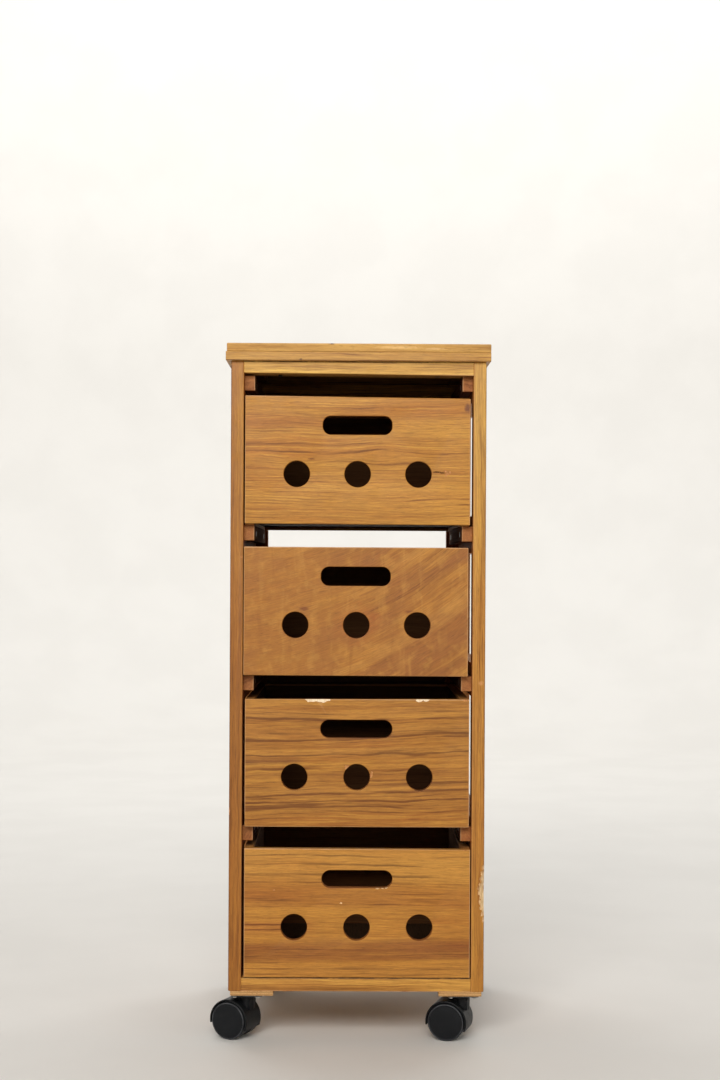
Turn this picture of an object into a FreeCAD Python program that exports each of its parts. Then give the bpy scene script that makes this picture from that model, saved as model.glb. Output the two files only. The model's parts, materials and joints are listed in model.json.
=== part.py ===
import FreeCAD, Part
import math
import os

from FreeCAD import Vector as V

# Rolling drawer cabinet: a tall, narrow wooden tower of four open-topped box
# drawers on wooden runners, with open ladder-frame sides, an open back, a
# two-layer top and four twin-wheel casters on plywood pads.
#
# Frame: millimetres, +Z up, the floor is Z = 0, the front faces -Y, and the
# origin is the centre of the plan on the floor.
os.makedirs("parts", exist_ok=True)

# ---------------------------------------------------------------- dimensions
TOP_W, TOP_D = 350.0, 350.0        # top board, plan
TOP_PANEL_T = 11.0                 # upper layer of the top
TOP_EDGING_T = 12.0                # lower layer of the top: a frame of strips
EDGING_W = 40.0                    # width of each edging strip
EDGING_OUT = 1.4                   # lower layer stands out past the upper one at the left

CARC_W, CARC_D = 339.0, 336.0      # carcass over the posts
POST_W = 17.0                      # post thickness, X
POST_DL, POST_DR = 60.0, 34.0      # post width, Y: left frame, right frame
SLAB_T = 18.0                      # bottom panel and top rails
TOP_RAIL_D = 40.0                  # top rails, front to back
# rungs of the side ladder frames, from below: underside and height of each
RUNGS = {-1: [(68.0, 50.0), (251.0, 50.0), (451.0, 50.0), (651.0, 50.0), (854.0, 50.0)],
         1: [(68.0, 50.0), (246.0, 48.0), (458.0, 45.0), (651.0, 50.0), (854.0, 50.0)]}

BAYS = 4
PITCH = 200.0                      # height of one drawer bay
RUNNER_W, RUNNER_H = 14.0, 20.0    # runner section, X by Z
RUNNER_SETBACK = 14.0              # runner's front end behind the post's face
STOP_W, STOP_D = 18.0, 15.0        # upright drawer stops at the back
CROSS_Z, CROSS_H = 450.0, 52.0     # lower cross rail between the stops
UPPER_H = 40.0                     # upper cross rail, under the rear top rail

WALL = 12.0                        # drawer front, back and sides
DRW_W, DRW_D, DRW_H = 299.0, 320.0, 170.0
DRW_LIFT = 0.2                     # running gap under a drawer
FLOOR_T, FLOOR_UP, GROOVE_IN = 4.0, 6.0, 5.0   # drawer bottom in its grooves
HOLE_R = 17.5                      # three round holes in each front

# one row per drawer, counted from the top: its sideways place in the bay; the
# hand slot's sideways place, width, height, corner radius and height above the
# drawer's underside; the three holes' pitch and height; and how far the front
# differs from its nominal rectangle at the lower left, lower right, upper left
# and upper right corner, since no front was cut quite square; and how much
# wider the drawer is than nominal at its left and at its right
DRAWERS = [
    (-1.1, -0.4, 92.2, 25.0, 10.8, 133.1, 80.75, 68.3, (2.2, 1.2, 2.0, -0.7), (0.0, 0.0)),
    (-1.95, -0.9, 92.6, 25.4, 11.0, 132.7, 81.0, 67.9, (0.9, 0.3, 1.5, 1.2), (0.0, -1.1)),
    (-0.25, -0.9, 95.4, 24.0, 11.6, 130.2, 83.0, 66.2, (0.0, 0.0, -0.8, 0.0), (-0.9, -0.4)),
    (0.5, 0.2, 94.0, 23.6, 11.6, 131.0, 83.2, 67.0, (0.0, 0.0, 1.4, 0.4), (0.0, 0.9)),
]

PAD, PAD_T = 57.0, 6.0             # plywood pad over each caster
PAD_IN_X, PAD_IN_Y = 2.7, 0.5      # pad in from the carcass's faces
CASTER_H = 62.0                    # floor to the top of the caster's plate
PLATE, PLATE_T = 42.0, 2.0
PLATE_HOLE = 16.0                  # plate's screw holes, from its centre
SWIVEL_X = {-1: -145.15, 1: 142.85}   # swivel axes, left and right
SWIVEL_Y = 144.0                   # swivel axes, front and rear
WHEEL_R, TRAIL = 25.0, 18.0
WHEEL_IN, WHEEL_OUT = 6.0, 22.0    # a wheel's faces, from the caster's middle
WEB_HALF = 5.2                     # hood's web between the wheels
FENDER_IN, FENDER_OUT, FENDER_HALF = 26.2, 28.2, 20.3
AXLE_R, AXLE_HALF = 3.0, 18.6
KINGPIN_R = 3.5
NECK_R, NECK_TOP = 9.5, 57.6
# direction in which each caster trails, in degrees from +X about +Z
CASTERS = {
    "front_left": (-1, -1, 154.0),
    "front_right": (1, -1, 163.0),
    "rear_left": (-1, 1, -17.0),
    "rear_right": (1, 1, 2.0),
}

ARRIS = 1.0                        # rounded edge on sawn wood

# levels
Z_PLATE = CASTER_H - PLATE_T
Z_CARC = CASTER_H + PAD_T          # 68: underside of the carcass
Z_IN = Z_CARC + SLAB_T             # 86: top of the bottom panel
Z_CEIL = Z_IN + BAYS * PITCH       # 886: underside of the top rails
Z_RAIL = Z_CEIL + SLAB_T           # 904: top of the carcass
Z_EDGE = Z_RAIL + TOP_EDGING_T
Z_TOP = Z_EDGE + TOP_PANEL_T       # 927

XO, XI = CARC_W / 2, CARC_W / 2 - POST_W       # 169.5, 152.5
YO = CARC_D / 2                                # 168
YI = {-1: YO - POST_DL, 1: YO - POST_DR}       # 108, 134
OUT = {}


# ------------------------------------------------------------------- helpers
def box(x0, x1, y0, y1, z0, z1, r=0.0):
    b = Part.makeBox(x1 - x0, y1 - y0, z1 - z0, V(x0, y0, z0))
    return b.makeFillet(r, b.Edges) if r else b


def slab(x0, x1, y0, y1, z0, z1, trim, r):
    """A board whose lower left, lower right, upper left and upper right corners
    stand off the rectangle by trim."""
    ring = [V(x0, y0, z0 + trim[0]), V(x1, y0, z0 + trim[1]),
            V(x1, y0, z1 + trim[3]), V(x0, y0, z1 + trim[2])]
    b = Part.Face(Part.makePolygon(ring + ring[:1])).extrude(V(0, y1 - y0, 0))
    return b.makeFillet(r, b.Edges)


def cyl(r, h, at, axis):
    return Part.makeCylinder(r, h, V(*at), V(*axis))


def cone(r0, r1, h, at, axis):
    return Part.makeCone(r0, r1, h, V(*at), V(*axis))


def one(shape):
    """The single solid of a boolean's result."""
    shape = shape.removeSplitter() if len(shape.Solids) == 1 else shape
    assert len(shape.Solids) == 1, len(shape.Solids)
    return shape.Solids[0]


def cut(shape, tools):
    near = [t for t in tools if t.BoundBox.intersect(shape.BoundBox)]
    return one(shape.cut(Part.makeCompound(near))) if near else shape


def save(name, *solids):
    solids = list(solids)
    for s in solids:
        assert s.isValid() and s.Volume > 0, name
    shape = solids[0] if len(solids) == 1 else Part.makeCompound(solids)
    shape.exportStep(os.path.join("parts", name + ".step"))
    OUT[name] = sum(s.Volume for s in solids)


def csk_screw(length, at, axis, r=2.0, head_r=3.9):
    """Countersunk cross-head screw: its head's face at `at`, its shank along axis."""
    a, p = V(*axis), V(*at)
    head_h = head_r - r
    s = Part.makeCone(head_r, r - 0.02, head_h, p, a)
    s = s.fuse(Part.makeCylinder(r - 0.02, length - head_h - 3, p + a * head_h, a))
    s = s.fuse(Part.makeCone(r - 0.02, 0.4, 3.0, p + a * (length - 3), a))
    u = V(0, 0, 1) if abs(a.z) < 0.5 else V(1, 0, 0)
    w = a.cross(u)
    for d, e in ((u, w), (w, u)):
        c = p - d * 2.2 - e * 0.45 - a * 0.01
        pts = [c, c + d * 4.4, c + d * 4.4 + e * 0.9, c + e * 0.9, c]
        s = s.cut(Part.Face(Part.makePolygon(pts)).extrude(a * 1.3))
    return one(s)


def csk_hole(length, at, axis, r=2.0, head_r=3.9):
    """The hole that csk_screw sits in, clear of it by a hair."""
    a, p = V(*axis), V(*at)
    h = Part.makeCone(head_r + 0.1, r, head_r + 0.1 - r, p - a * 0.0, a)
    return h.fuse(Part.makeCylinder(r, length + 0.4, p, a))


# ------------------------------------------------------------------ fasteners
runner_z = [Z_IN + PITCH * i for i in range(1, BAYS + 1)]    # runners' top faces
runner_screws, runner_holes = [], []
for side in (-1, 1):
    for z in runner_z:
        for y in (-105.0, 105.0):
            at, axis = (side * (XI - RUNNER_W), y, z - RUNNER_H / 2), (side, 0, 0)
            runner_screws.append(csk_screw(26.0, at, axis))
            runner_holes.append(csk_hole(26.0, at, axis))

top_screws, top_holes = [], []
for x in (-105.0, 105.0):
    for y in (-148.0, 148.0):
        at, axis = (x, y, Z_CEIL), (0, 0, 1)
        top_screws.append(csk_screw(28.0, at, axis))
        top_holes.append(csk_hole(28.0, at, axis))

plate_screws, plate_holes = [], []
for sx, sy, _ in CASTERS.values():
    cx, cy = SWIVEL_X[sx], sy * SWIVEL_Y
    for ix in (-1, 1):
        for iy in (-1, 1):
            x, y = cx + ix * PLATE_HOLE, cy + iy * PLATE_HOLE
            head = Part.makeCone(3.4, 2.5, 2.0, V(x, y, Z_PLATE), V(0, 0, -1))
            shank = cyl(1.7, 12.0, (x, y, Z_PLATE), (0, 0, 1))
            tip = cone(1.7, 0.4, 2.5, (x, y, Z_PLATE + 12.0), (0, 0, 1))
            s = head.fuse(shank).fuse(tip)
            for w, d in ((3.2, 0.8), (0.8, 3.2)):
                s = s.cut(box(x - w / 2, x + w / 2, y - d / 2, y + d / 2,
                              Z_PLATE - 2.1, Z_PLATE - 1.0))
            plate_screws.append(one(s))
            plate_holes.append(cyl(1.75, 15.0, (x, y, Z_PLATE - 0.1), (0, 0, 1)))

# -------------------------------------------------------------------- the top
save("top_panel", box(-TOP_W / 2, TOP_W / 2, -TOP_D / 2, TOP_D / 2,
                      Z_EDGE, Z_TOP, 1.2))
strips = [
    box(-TOP_W / 2 - EDGING_OUT, TOP_W / 2, -TOP_D / 2, -TOP_D / 2 + EDGING_W,
        Z_RAIL, Z_EDGE, 0.8),
    box(-TOP_W / 2 - EDGING_OUT, TOP_W / 2, TOP_D / 2 - EDGING_W, TOP_D / 2,
        Z_RAIL, Z_EDGE, 0.8),
    box(-TOP_W / 2 - EDGING_OUT, -TOP_W / 2 + EDGING_W, -TOP_D / 2 + EDGING_W,
        TOP_D / 2 - EDGING_W, Z_RAIL, Z_EDGE, 0.8),
    box(TOP_W / 2 - EDGING_W, TOP_W / 2, -TOP_D / 2 + EDGING_W,
        TOP_D / 2 - EDGING_W, Z_RAIL, Z_EDGE, 0.8),
]
save("top_edging", *[cut(s, top_holes) for s in strips])
# the front rail's underside rises a little towards the left
save("top_rails",
     cut(slab(-XI, XI, -YO, -YO + TOP_RAIL_D, Z_CEIL, Z_RAIL, (2.4, 0, 0, 0), 0.8), top_holes),
     cut(box(-XI, XI, YO - TOP_RAIL_D, YO, Z_CEIL, Z_RAIL, 0.8), top_holes))

# ---------------------------------------------------------------- the carcass
save("bottom_panel", cut(box(-XI, XI, -YO, YO, Z_CARC, Z_IN, 1.4), plate_holes))

# A long shallow flake is broken off the outer front edge of the right front
# post, half-way up the lowest bay: each row is its depth from
# the outer face and its height. It runs out to nothing along the outer face.
flake = [(0.0, 166.5), (0.8, 169.0), (2.4, 173.0), (4.0, 178.5), (5.2, 182.0), (5.6, 186.0),
         (4.4, 190.5), (5.4, 194.0), (6.8, 198.0), (7.9, 204.0), (6.6, 209.0), (5.0, 212.0),
         (3.5, 215.5), (4.4, 220.5), (1.8, 227.0), (0.0, 229.5)]
for name, sx, sy in (("post_front_left", -1, -1), ("post_front_right", 1, -1),
                     ("post_rear_left", -1, 1), ("post_rear_right", 1, 1)):
    x0, x1 = sorted((sx * XI, sx * XO))
    y0, y1 = sorted((sy * YI[sx], sy * YO))
    post = cut(box(x0, x1, y0, y1, Z_CARC, Z_RAIL, 1.4), plate_holes)
    if name == "post_front_right":
        ring = [V(XO + 9, -YO - 0.4, flake[0][1])]
        ring += [V(XO - d, -YO - 0.4, z) for d, z in flake]
        ring += [V(XO + 9, -YO - 0.4, flake[-1][1])]
        tool = Part.Face(Part.makePolygon(ring + ring[:1])).extrude(V(6.9, 8.5, 1.6))
        post = one(post.cut(tool))
    save(name, post)

assert RUNGS[-1][0][0] == RUNGS[1][0][0] == Z_CARC
assert sum(RUNGS[-1][-1]) == sum(RUNGS[1][-1]) == Z_RAIL
for name, side in (("side_rails_left", -1), ("side_rails_right", 1)):
    x0, x1 = sorted((side * XI, side * XO))
    save(name, *[cut(box(x0, x1, -YI[side], YI[side], z, z + h, ARRIS),
                     runner_holes + plate_holes) for z, h in RUNGS[side]])
for name, side in (("runners_left", -1), ("runners_right", 1)):
    x0, x1 = sorted((side * XI, side * (XI - RUNNER_W)))
    save(name, *[cut(box(x0, x1, -YO + RUNNER_SETBACK, YO - STOP_D, z - RUNNER_H, z, 0.8),
                     runner_holes) for z in runner_z])
save("rear_stops", *[box(*sorted((s * XI, s * (XI - STOP_W))), YO - STOP_D, YO,
                         Z_IN, Z_CEIL, ARRIS) for s in (-1, 1)])
save("rear_cross_rails", *[box(-XI + STOP_W, XI - STOP_W, YO - STOP_D, YO, z, z + h, ARRIS)
                           for z, h in ((CROSS_Z, CROSS_H), (Z_CEIL - UPPER_H, UPPER_H))])
save("runner_screws", *runner_screws)
save("top_screws", *top_screws)

# ---------------------------------------------------------------- the drawers
for i, (dx, sx, sw, sh, sr, slot_up, pitch, hole_up, trim, wider) in enumerate(DRAWERS):
    name = "drawer_%d_" % (i + 1)
    z0 = Z_IN + PITCH * (BAYS - 1 - i) + DRW_LIFT
    z1 = z0 + DRW_H
    yf, yb = -YO, -YO + DRW_D                     # front and back faces
    xl, xr = dx - DRW_W / 2 - wider[0], dx + DRW_W / 2 + wider[1]
    groove = box(xl + WALL - GROOVE_IN - 0.2, xr - WALL + GROOVE_IN + 0.2,
                 yf + WALL - GROOVE_IN - 0.2, yb - WALL + GROOVE_IN + 0.2,
                 z0 + FLOOR_UP, z0 + FLOOR_UP + FLOOR_T + 0.2)
    dowels, dowel_holes = [], []
    for z in (z0 + 30, z0 + DRW_H / 2, z1 - 30):
        for x, d in ((xl, 1), (xr, -1)):
            # blind, front to side
            at = (x + d * WALL / 2, yf + 5.0, z)
            dowels.append(cyl(2.98, 24.0, at, (0, 1, 0)))
            dowel_holes.append(cyl(3.0, 24.4, (at[0], at[1] - 0.2, z), (0, 1, 0)))
            # through the side into the back, flush outside
            at = (x, yb - WALL / 2, z)
            dowels.append(cyl(2.98, 24.0, at, (d, 0, 0)))
            dowel_holes.append(cyl(3.0, 24.4, at, (d, 0, 0)))
    save(name + "dowels", *dowels)

    front = slab(xl, xr, yf, yf + WALL, z0, z1, trim, 1.2)
    xc, zc = dx + sx, z0 + slot_up
    slot = box(xc - sw / 2, xc + sw / 2, yf - 1, yf + WALL + 1, zc - sh / 2, zc + sh / 2)
    slot = slot.makeFillet(sr, [e for e in slot.Edges
                                if abs(e.Vertexes[0].Y - e.Vertexes[-1].Y) > 1])
    holes = [cyl(HOLE_R, WALL + 2, (dx + k * pitch, yf - 1, z0 + hole_up), (0, 1, 0))
             for k in (-1, 0, 1)]
    front = one(front.cut(Part.makeCompound([slot] + holes)))
    lips = [e for e in front.Edges
            if e.BoundBox.YLength < 0.01
            and min(abs(e.BoundBox.YMin - yf), abs(e.BoundBox.YMin - yf - WALL)) < 0.01
            and e.BoundBox.XMin > xl + 20 and e.BoundBox.XMax < xr - 20
            and e.BoundBox.ZMin > z0 + 20 and e.BoundBox.ZMax < z1 - 12]
    front = front.makeFillet(0.9, lips)
    front = cut(cut(front, [groove]), dowel_holes)
    save(name + "front", front)

    back = slab(xl + WALL, xr - WALL, yb - WALL, yb, z0, z1, (0, 0, *trim[2:]), 0.8)
    save(name + "back", cut(cut(back, [groove]), dowel_holes))
    for side, x0, up in (("left", xl, trim[2]), ("right", xr - WALL, trim[3])):
        wall = box(x0, x0 + WALL, yf + WALL, yb, z0, z1 + up, 0.8)
        save(name + side + "_side", cut(cut(wall, [groove]), dowel_holes))
    save(name + "bottom", box(xl + WALL - GROOVE_IN, xr - WALL + GROOVE_IN,
                              yf + WALL - GROOVE_IN, yb - WALL + GROOVE_IN,
                              z0 + FLOOR_UP, z0 + FLOOR_UP + FLOOR_T))

# ---------------------------------------------------------------- the casters
pads, plates, pins = [], [], []
for sx, sy, _ in CASTERS.values():
    x0, x1 = sorted((sx * (XO - PAD_IN_X), sx * (XO - PAD_IN_X - PAD)))
    y0, y1 = sorted((sy * (YO - PAD_IN_Y), sy * (YO - PAD_IN_Y - PAD)))
    pads.append(cut(box(x0, x1, y0, y1, CASTER_H, Z_CARC, 0.5), plate_holes))
    cx, cy = SWIVEL_X[sx], sy * SWIVEL_Y
    p = Part.makeBox(PLATE, PLATE, PLATE_T, V(cx - PLATE / 2, cy - PLATE / 2, Z_PLATE))
    p = p.makeFillet(5.0, [e for e in p.Edges if e.BoundBox.ZLength > 1])
    race = cone(13.5, 12.0, 1.6, (cx, cy, Z_PLATE), (0, 0, -1))
    p = p.fuse(race)
    bores = [cyl(2.1, PLATE_T + 1, (cx + ix * PLATE_HOLE, cy + iy * PLATE_HOLE, Z_PLATE - 0.5),
                 (0, 0, 1)) for ix in (-1, 1) for iy in (-1, 1)]
    bores.append(cyl(KINGPIN_R, 6.0, (cx, cy, Z_PLATE - 3.0), (0, 0, 1)))
    plates.append(one(p.cut(Part.makeCompound(bores))))
    pin = cyl(KINGPIN_R, CASTER_H - 39.0, (cx, cy, 39.0), (0, 0, 1))
    pins.append(pin.makeChamfer(0.8, [e for e in pin.Edges
                                      if e.BoundBox.ZLength < 0.01 and e.BoundBox.ZMin < 40]))
save("caster_pads", *pads)
save("caster_plates", *plates)
save("caster_kingpins", *pins)
save("caster_plate_screws", *plate_screws)


def wheel(side):
    """A moulded wheel turned about the axle, closed on its outer face."""
    prof = [(3.06, 6.0), (8.0, 6.0), (8.6, 9.0), (20.4, 9.0), (21.0, 6.5), (24.2, 6.5),
            (25.0, 7.3), (25.0, 19.5), (24.6, 20.5), (23.6, 21.3), (22.9, 21.4),
            (22.6, 20.9), (22.1, 20.9), (21.8, 21.4), (15.0, 22.2), (7.0, 22.6),
            (0.0, 22.7), (0.0, 19.0), (3.06, 19.0)]
    pts = [V(TRAIL + r, side * y, WHEEL_R) for r, y in prof]
    face = Part.Face(Part.makePolygon(pts + pts[:1]))
    s = face.revolve(V(TRAIL, 0, WHEEL_R), V(0, 1, 0), 360)
    s = s.Solids[0] if s.Solids else Part.makeSolid(s)
    if s.Volume < 0:
        s.reverse()
    return s


def hood():
    """Fender over both wheels, the web between them and the swivel neck."""
    a0, a1 = math.radians(-10), math.radians(203)

    def at(r, a):
        return V(TRAIL + r * math.cos(a), 0, WHEEL_R + r * math.sin(a))

    def sector(r0, r1, half):
        mid = (a0 + a1) / 2
        e = [Part.Arc(at(r1, a0), at(r1, mid), at(r1, a1)).toShape()]
        if r0:
            e += [Part.LineSegment(at(r1, a1), at(r0, a1)).toShape(),
                  Part.Arc(at(r0, a1), at(r0, mid), at(r0, a0)).toShape(),
                  Part.LineSegment(at(r0, a0), at(r1, a0)).toShape()]
        else:
            c = V(TRAIL, 0, WHEEL_R)
            e += [Part.LineSegment(at(r1, a1), c).toShape(),
                  Part.LineSegment(c, at(r1, a0)).toShape()]
        f = Part.Face(Part.Wire(e))
        f.translate(V(0, -half, 0))
        return f.extrude(V(0, 2 * half, 0))

    fender = sector(FENDER_IN, FENDER_OUT, FENDER_HALF)
    outer = [e for e in fender.Edges
             if e.BoundBox.YLength < 0.01 and hasattr(e.Curve, "Radius")
             and abs(e.Curve.Radius - FENDER_OUT) < 0.01]
    fender = fender.makeFillet(1.2, outer)
    h = fender.fuse(sector(0, FENDER_OUT - 0.6, WEB_HALF))
    h = h.fuse(cyl(9.0, 2 * WEB_HALF, (TRAIL, -WEB_HALF, WHEEL_R), (0, 1, 0)))
    neck = cyl(NECK_R, NECK_TOP - 40.0, (0, 0, 40.0), (0, 0, 1))
    shoulder = Part.Face(Part.makePolygon([
        V(-8.5, -8, 40), V(-8.5, -8, 54.0), V(6.0, -8, 56.4), V(17.0, -8, 54.4),
        V(27.0, -8, 50.5), V(27.0, -8, 40), V(-8.5, -8, 40)])).extrude(V(0, 16, 0))
    shoulder = shoulder.makeFillet(2.4, [e for e in shoulder.Edges
                                         if e.BoundBox.YLength < 0.01
                                         and e.BoundBox.ZMin > 49])
    h = h.fuse(neck).fuse(shoulder)
    tools = [cyl(3.02, 2 * WEB_HALF + 2, (TRAIL, -WEB_HALF - 1, WHEEL_R), (0, 1, 0)),
             cyl(KINGPIN_R + 0.06, NECK_TOP - 37.0, (0, 0, 38.0), (0, 0, 1))]
    for y in (-WEB_HALF - 20, WEB_HALF):
        tools.append(cyl(FENDER_IN, 20.0, (TRAIL, y, WHEEL_R), (0, 1, 0)))
    return one(h.cut(Part.makeCompound(tools)))


HOOD = hood()
WHEELS = {"wheel_a": wheel(1), "wheel_b": wheel(-1)}
AXLE = cyl(AXLE_R, 2 * AXLE_HALF, (TRAIL, -AXLE_HALF, WHEEL_R), (0, 1, 0))
for name, (sx, sy, turn) in CASTERS.items():
    place = FreeCAD.Placement(V(SWIVEL_X[sx], sy * SWIVEL_Y, 0),
                              FreeCAD.Rotation(V(0, 0, 1), turn))
    for piece, shape in {"hood": HOOD, "axle": AXLE, **WHEELS}.items():
        s = shape.copy()
        s.Placement = place.multiply(s.Placement)
        save("caster_" + name + "_" + piece, s)

print(len(OUT), "nodes,", round(sum(OUT.values()) / 1e6, 3), "litres")
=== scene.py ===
import json
import math
import random

import bmesh
import bpy
import numpy as np
from mathutils import Matrix, Vector, noise


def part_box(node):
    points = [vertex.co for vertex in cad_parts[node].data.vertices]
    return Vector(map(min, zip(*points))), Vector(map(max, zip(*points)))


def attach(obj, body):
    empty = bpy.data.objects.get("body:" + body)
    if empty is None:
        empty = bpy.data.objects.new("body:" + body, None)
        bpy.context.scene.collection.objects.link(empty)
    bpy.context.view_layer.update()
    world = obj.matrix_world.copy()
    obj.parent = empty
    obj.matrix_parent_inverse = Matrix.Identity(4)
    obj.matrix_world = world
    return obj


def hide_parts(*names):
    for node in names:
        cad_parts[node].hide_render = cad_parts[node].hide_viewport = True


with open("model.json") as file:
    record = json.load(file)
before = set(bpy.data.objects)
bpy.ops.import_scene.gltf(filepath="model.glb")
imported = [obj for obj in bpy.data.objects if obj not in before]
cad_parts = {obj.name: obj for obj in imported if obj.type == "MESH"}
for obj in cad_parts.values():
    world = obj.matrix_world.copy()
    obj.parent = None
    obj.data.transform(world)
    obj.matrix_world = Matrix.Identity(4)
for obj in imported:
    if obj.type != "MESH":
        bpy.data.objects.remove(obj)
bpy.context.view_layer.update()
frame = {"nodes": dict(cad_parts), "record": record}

NODES = frame["nodes"]
MM = 0.001
BODY_OF = {n: b for b, ns in frame["record"]["behaviour"]["bodies"].items() for n in ns}


# ------------------------------------------------------------- node helpers
class Tree:
    """Short words for building a material's nodes."""

    def __init__(self, name):
        self.mat = bpy.data.materials.new(name)
        self.mat.use_nodes = True
        self.nt = self.mat.node_tree
        self.nt.nodes.clear()
        out = self.nt.nodes.new("ShaderNodeOutputMaterial")
        self.bsdf = self.nt.nodes.new("ShaderNodeBsdfPrincipled")
        self.nt.links.new(self.bsdf.outputs[0], out.inputs["Surface"])
        self.pos = self.add("ShaderNodeTexCoord").outputs["Object"]

    def add(self, kind, ins=None, **props):
        n = self.nt.nodes.new(kind)
        for k, v in props.items():
            setattr(n, k, v)
        for k, v in (ins or {}).items():
            self.put(n.inputs[k], v)
        return n

    def put(self, socket, v):
        if isinstance(v, bpy.types.NodeSocket):
            self.nt.links.new(v, socket)
        elif isinstance(v, (tuple, list)) and len(v) == 3 and len(socket.default_value) == 4:
            socket.default_value = (*v, 1.0)
        else:
            socket.default_value = v

    def math(self, op, a, b=0.0, c=0.0, clamp=False):
        n = self.add("ShaderNodeMath", {0: a, 1: b, 2: c}, operation=op, use_clamp=clamp)
        return n.outputs[0]

    def sub(self, a, b):
        return self.math("SUBTRACT", a, b)

    def sum(self, a, b):
        return self.math("ADD", a, b)

    def mul(self, a, b):
        return self.math("MULTIPLY", a, b)

    def mad(self, a, b, c):
        return self.math("MULTIPLY_ADD", a, b, c)

    def xyz(self, v):
        n = self.add("ShaderNodeSeparateXYZ", {0: v})
        return n.outputs[0], n.outputs[1], n.outputs[2]

    def vec(self, x, y, z):
        return self.add("ShaderNodeCombineXYZ", {0: x, 1: y, 2: z}).outputs[0]

    def vmul(self, a, b):
        return self.add("ShaderNodeVectorMath", {0: a, 1: b}, operation="MULTIPLY").outputs[0]

    def vadd(self, a, b):
        return self.add("ShaderNodeVectorMath", {0: a, 1: b}, operation="ADD").outputs[0]

    def noise(self, vec, scale=1.0, detail=2.0, rough=0.5, distort=0.0, dims="3D"):
        n = self.add("ShaderNodeTexNoise", noise_dimensions=dims)
        self.put(n.inputs["W" if dims == "1D" else "Vector"], vec)
        for k, v in (("Scale", scale), ("Detail", detail), ("Roughness", rough),
                     ("Distortion", distort)):
            self.put(n.inputs[k], v)
        return n.outputs["Fac"]

    def ramp(self, fac, lo, hi, a=0.0, b=1.0, smooth=True):
        n = self.add("ShaderNodeMapRange", {"Value": fac, "From Min": lo, "From Max": hi,
                                            "To Min": a, "To Max": b},
                     interpolation_type="SMOOTHSTEP" if smooth else "LINEAR")
        return n.outputs["Result"]

    def mix(self, fac, a, b, mode="MIX"):
        n = self.add("ShaderNodeMix", data_type="RGBA", blend_type=mode)
        self.put(n.inputs["Factor"], fac)
        self.put(n.inputs["A"], a)
        self.put(n.inputs["B"], b)
        return n.outputs["Result"]

    def grey(self, v):
        return self.add("ShaderNodeCombineColor", {0: v, 1: v, 2: v}).outputs[0]

    def bump(self, height, strength=0.5, distance=0.0002):
        n = self.add("ShaderNodeBump", {"Height": height, "Strength": strength,
                                        "Distance": distance})
        self.nt.links.new(n.outputs[0], self.bsdf.inputs["Normal"])

    def set(self, **kw):
        for k, v in kw.items():
            self.put(self.bsdf.inputs[k.replace("_", " ")], v)
        return self.mat


def rgb(r, g, b):
    """A colour given as 0-255 display values, as linear light."""
    f = lambda c: c / 12.92 if c <= 0.04045 else ((c + 0.055) / 1.055) ** 2.4
    return tuple(f(c / 255) for c in (r, g, b))


# ------------------------------------------------------------------- wood
def shades(hue):
    """Light, middle, dark and ruddy wood from one colour in 0-255 display values."""
    m = rgb(*hue)
    f = lambda k: tuple(a * b for a, b in zip(m, k))
    return f((1.32, 1.46, 1.50)), m, f((0.48, 0.38, 0.32)), f((0.88, 0.68, 0.60))


PALE_WEAR_AND_HIGHLIGHT = (214, 166, 118)      # lacquer rubbed thin along an edge, together with a painted highlight on the arris
PAINTED_JOINT_SHADE = (58, 30, 14)        # painted shade along a joint between parts


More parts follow.
